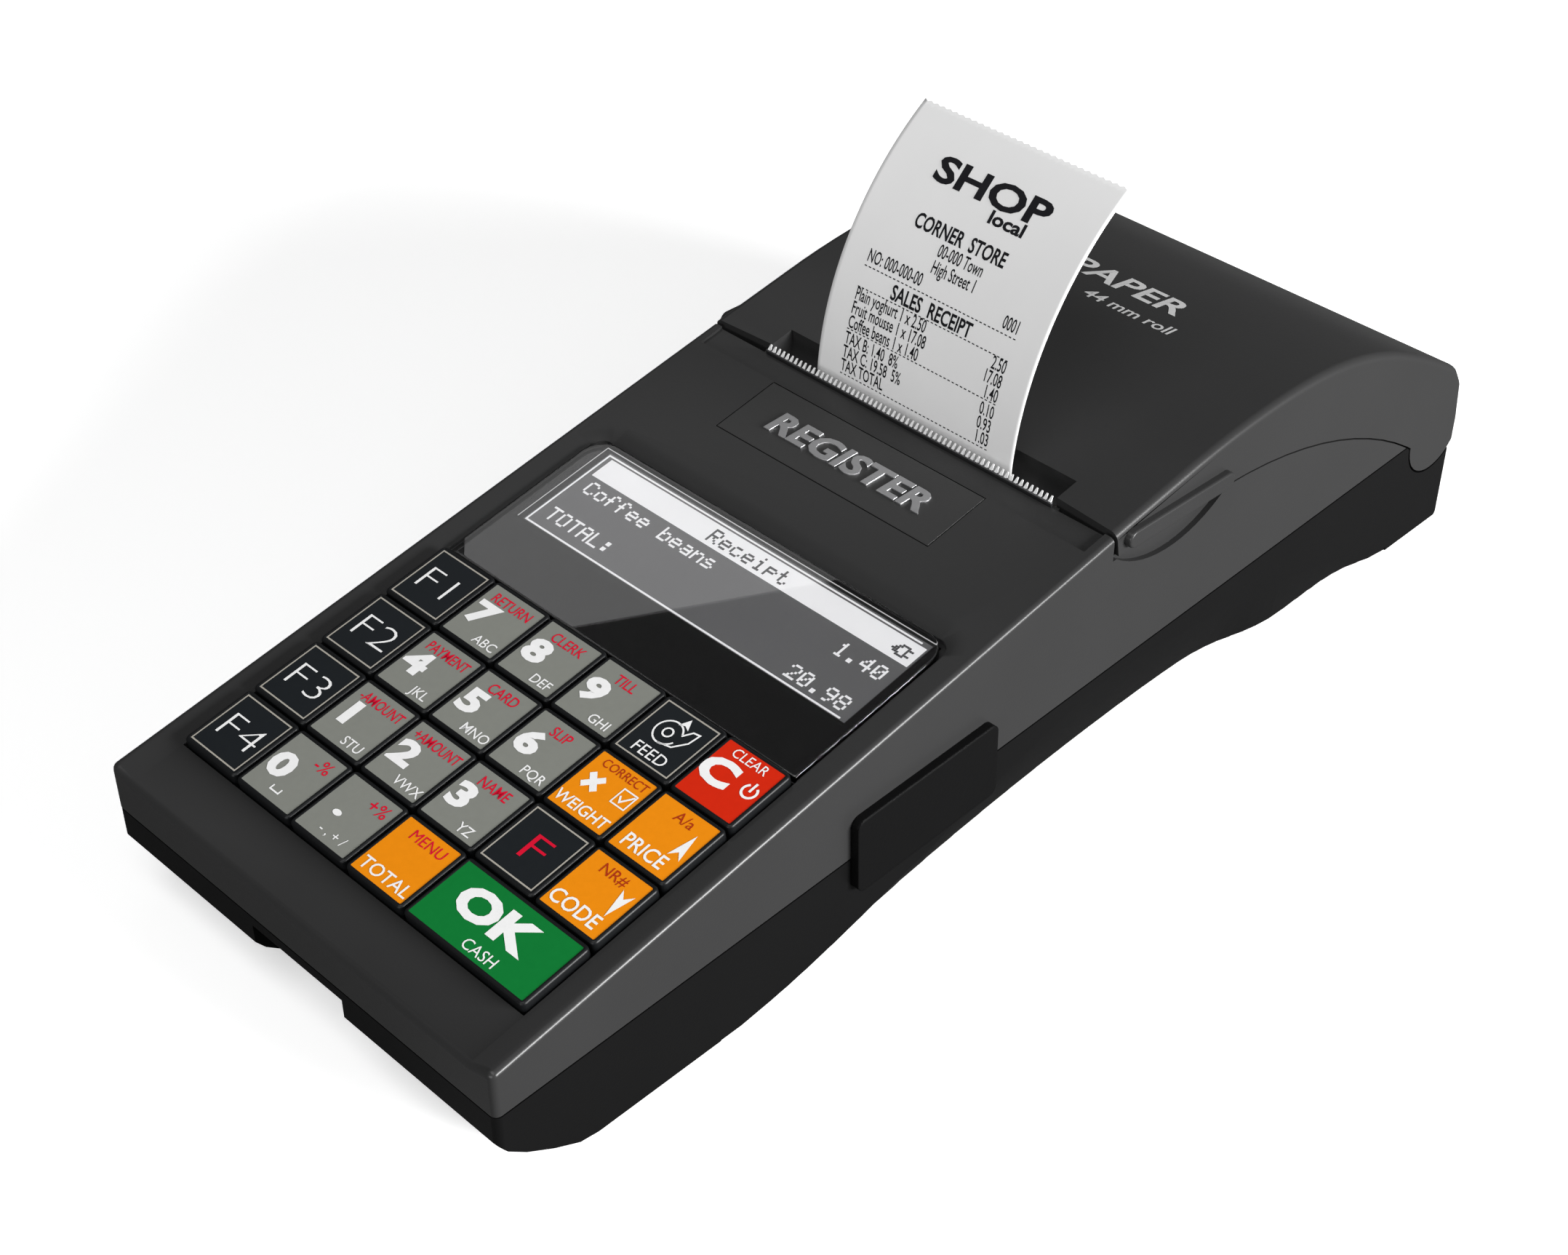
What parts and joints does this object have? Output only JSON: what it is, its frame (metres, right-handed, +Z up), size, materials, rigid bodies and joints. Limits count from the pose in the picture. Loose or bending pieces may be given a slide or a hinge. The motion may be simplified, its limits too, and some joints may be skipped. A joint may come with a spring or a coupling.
{
  "type": "hand-held cash register",
  "caption": "Hand-held cash register with a sloped keypad deck, a display window and a drop-in receipt printer under a hinged rear lid.",
  "frame": {"origin": "middle of the footprint on the resting plane, on the plane midway between the sides", "axes": "+Z up, +Y from the keypad towards the paper lid, +X to the right as the operator sees it"},
  "size_m": [0.0928, 0.2306, 0.0895],
  "materials": {
    "base_plastic": "fine satin texture",
    "deck_plastic": "satin",
    "plate_plastic": "satin",
    "display_glass": "smoked, glossy",
    "lcd": "semi-gloss",
    "mat_rubber": "silicone",
    "board": "solder mask",
    "potting": "epoxy",
    "connector_black": "moulded",
    "soft_rubber": "matt",
    "battery_wrap": "shrink film",
    "sheet_steel": "bright zinc",
    "ceramic": "glazed",
    "brass": "turned",
    "gear_plastic": "acetal",
    "paper": "thermal paper",
    "blade_steel": "ground",
    "ribbon": "foil",
    "grey_key": "printed, satin lacquer",
    "black_key": "printed, satin lacquer",
    "orange_key": "printed, satin lacquer",
    "red_key": "printed, satin lacquer",
    "green_key": "printed, satin lacquer"
  },
  "bodies": {
    "casing": {"base_shell": "base_plastic", "top_cover": "deck_plastic", "display_window": "display_glass", "lcd_module": "lcd", "name_plate": "plate_plastic", "keypad_mat": "mat_rubber", "keypad_board": "board", "main_board": "board", "memory_module": "potting", "buzzer": "connector_black", "com_port": "connector_black", "power_jack": "connector_black", "battery_pack": "battery_wrap", "battery_cover": "base_plastic", "printer_frame": "sheet_steel", "print_head": "ceramic", "head_springs": "sheet_steel", "paper_motor": "sheet_steel", "paper_tray": "base_plastic", "tear_bar": "blade_steel", "case_screws": "sheet_steel", "small_screws": "sheet_steel", "rubber_feet": "soft_rubber", "customer_window": "display_glass", "customer_lcd": "lcd", "ribbon_cables": "ribbon"},
    "lid": {"paper_lid": "deck_plastic", "hinge_pins": "sheet_steel", "platen_bushings": "gear_plastic", "receipt_strip": "paper"},
    "platen": {"platen_roller": "soft_rubber", "platen_gear": "gear_plastic"},
    "idler": {"idler_gear": "gear_plastic"},
    "motor_shaft": {"motor_pinion": "brass"},
    "roll": {"paper_roll": "paper"},
    "port_flap": {"port_cover": "soft_rubber"},
    "key_f4": {"key_f4": "black_key"},
    "key_0": {"key_0": "grey_key"},
    "key_point": {"key_point": "grey_key"},
    "key_total": {"key_total": "orange_key"},
    "key_ok": {"key_ok": "green_key"},
    "key_f3": {"key_f3": "black_key"},
    "key_1": {"key_1": "grey_key"},
    "key_2": {"key_2": "grey_key"},
    "key_3": {"key_3": "grey_key"},
    "key_f": {"key_f": "black_key"},
    "key_code": {"key_code": "orange_key"},
    "key_f2": {"key_f2": "black_key"},
    "key_4": {"key_4": "grey_key"},
    "key_5": {"key_5": "grey_key"},
    "key_6": {"key_6": "grey_key"},
    "key_times": {"key_times": "orange_key"},
    "key_price": {"key_price": "orange_key"},
    "key_f1": {"key_f1": "black_key"},
    "key_7": {"key_7": "grey_key"},
    "key_8": {"key_8": "grey_key"},
    "key_9": {"key_9": "grey_key"},
    "key_feed": {"key_feed": "black_key"},
    "key_clear": {"key_clear": "red_key"}
  },
  "joints": [
    {"name": "lid_hinge", "type": "hinge", "parent": "casing", "child": "lid", "pos_m": [0, 0.1089, 0.022], "axis": [-1, 0, 0], "range_deg": [0, 85]},
    {"name": "platen_spin", "type": "hinge", "parent": "lid", "child": "platen", "pos_m": [0, 0.0212, 0.0372], "axis": [-1, 0, 0], "continuous": true},
    {"name": "idler_spin", "type": "hinge", "parent": "casing", "child": "idler", "pos_m": [0, 0.01949, 0.02735], "axis": [-1, 0, 0], "continuous": true},
    {"name": "motor_spin", "type": "hinge", "parent": "casing", "child": "motor_shaft", "pos_m": [0, 0.01299, 0.02735], "axis": [-1, 0, 0], "continuous": true},
    {"name": "roll_spin", "type": "hinge", "parent": "casing", "child": "roll", "pos_m": [0, 0.0607, 0.0247], "axis": [-1, 0, 0], "continuous": true},
    {"name": "port_flap_swing", "type": "hinge", "parent": "casing", "child": "port_flap", "pos_m": [0.0463, -0.0141, 0.0202], "axis": [0, 0, 1], "range_deg": [0, 100]},
    {"name": "press_f4", "type": "slide", "parent": "casing", "child": "key_f4", "axis": [0, 0.1668, -0.986], "range_m": [0, 0.0012], "stiffness_N_per_m": 300},
    {"name": "press_0", "type": "slide", "parent": "casing", "child": "key_0", "axis": [0, 0.1668, -0.986], "range_m": [0, 0.0012], "stiffness_N_per_m": 300},
    {"name": "press_point", "type": "slide", "parent": "casing", "child": "key_point", "axis": [0, 0.1668, -0.986], "range_m": [0, 0.0012], "stiffness_N_per_m": 300},
    {"name": "press_total", "type": "slide", "parent": "casing", "child": "key_total", "axis": [0, 0.1668, -0.986], "range_m": [0, 0.0012], "stiffness_N_per_m": 300},
    {"name": "press_ok", "type": "slide", "parent": "casing", "child": "key_ok", "axis": [0, 0.1668, -0.986], "range_m": [0, 0.0012], "stiffness_N_per_m": 300},
    {"name": "press_f3", "type": "slide", "parent": "casing", "child": "key_f3", "axis": [0, 0.1668, -0.986], "range_m": [0, 0.0012], "stiffness_N_per_m": 300},
    {"name": "press_1", "type": "slide", "parent": "casing", "child": "key_1", "axis": [0, 0.1668, -0.986], "range_m": [0, 0.0012], "stiffness_N_per_m": 300},
    {"name": "press_2", "type": "slide", "parent": "casing", "child": "key_2", "axis": [0, 0.1668, -0.986], "range_m": [0, 0.0012], "stiffness_N_per_m": 300},
    {"name": "press_3", "type": "slide", "parent": "casing", "child": "key_3", "axis": [0, 0.1668, -0.986], "range_m": [0, 0.0012], "stiffness_N_per_m": 300},
    {"name": "press_f", "type": "slide", "parent": "casing", "child": "key_f", "axis": [0, 0.1668, -0.986], "range_m": [0, 0.0012], "stiffness_N_per_m": 300},
    {"name": "press_code", "type": "slide", "parent": "casing", "child": "key_code", "axis": [0, 0.1668, -0.986], "range_m": [0, 0.0012], "stiffness_N_per_m": 300},
    {"name": "press_f2", "type": "slide", "parent": "casing", "child": "key_f2", "axis": [0, 0.1668, -0.986], "range_m": [0, 0.0012], "stiffness_N_per_m": 300},
    {"name": "press_4", "type": "slide", "parent": "casing", "child": "key_4", "axis": [0, 0.1668, -0.986], "range_m": [0, 0.0012], "stiffness_N_per_m": 300},
    {"name": "press_5", "type": "slide", "parent": "casing", "child": "key_5", "axis": [0, 0.1668, -0.986], "range_m": [0, 0.0012], "stiffness_N_per_m": 300},
    {"name": "press_6", "type": "slide", "parent": "casing", "child": "key_6", "axis": [0, 0.1668, -0.986], "range_m": [0, 0.0012], "stiffness_N_per_m": 300},
    {"name": "press_times", "type": "slide", "parent": "casing", "child": "key_times", "axis": [0, 0.1668, -0.986], "range_m": [0, 0.0012], "stiffness_N_per_m": 300},
    {"name": "press_price", "type": "slide", "parent": "casing", "child": "key_price", "axis": [0, 0.1668, -0.986], "range_m": [0, 0.0012], "stiffness_N_per_m": 300},
    {"name": "press_f1", "type": "slide", "parent": "casing", "child": "key_f1", "axis": [0, 0.1668, -0.986], "range_m": [0, 0.0012], "stiffness_N_per_m": 300},
    {"name": "press_7", "type": "slide", "parent": "casing", "child": "key_7", "axis": [0, 0.1668, -0.986], "range_m": [0, 0.0012], "stiffness_N_per_m": 300},
    {"name": "press_8", "type": "slide", "parent": "casing", "child": "key_8", "axis": [0, 0.1668, -0.986], "range_m": [0, 0.0012], "stiffness_N_per_m": 300},
    {"name": "press_9", "type": "slide", "parent": "casing", "child": "key_9", "axis": [0, 0.1668, -0.986], "range_m": [0, 0.0012], "stiffness_N_per_m": 300},
    {"name": "press_feed", "type": "slide", "parent": "casing", "child": "key_feed", "axis": [0, 0.1668, -0.986], "range_m": [0, 0.0012], "stiffness_N_per_m": 300},
    {"name": "press_clear", "type": "slide", "parent": "casing", "child": "key_clear", "axis": [0, 0.1668, -0.986], "range_m": [0, 0.0012], "stiffness_N_per_m": 300}
  ],
  "couplings": [
    {"joint": "idler_spin", "follows": "platen_spin", "ratio": -1.5},
    {"joint": "motor_spin", "follows": "platen_spin", "ratio": 2.4},
    {"joint": "roll_spin", "follows": "platen_spin", "ratio": 0.26882}
  ]
}
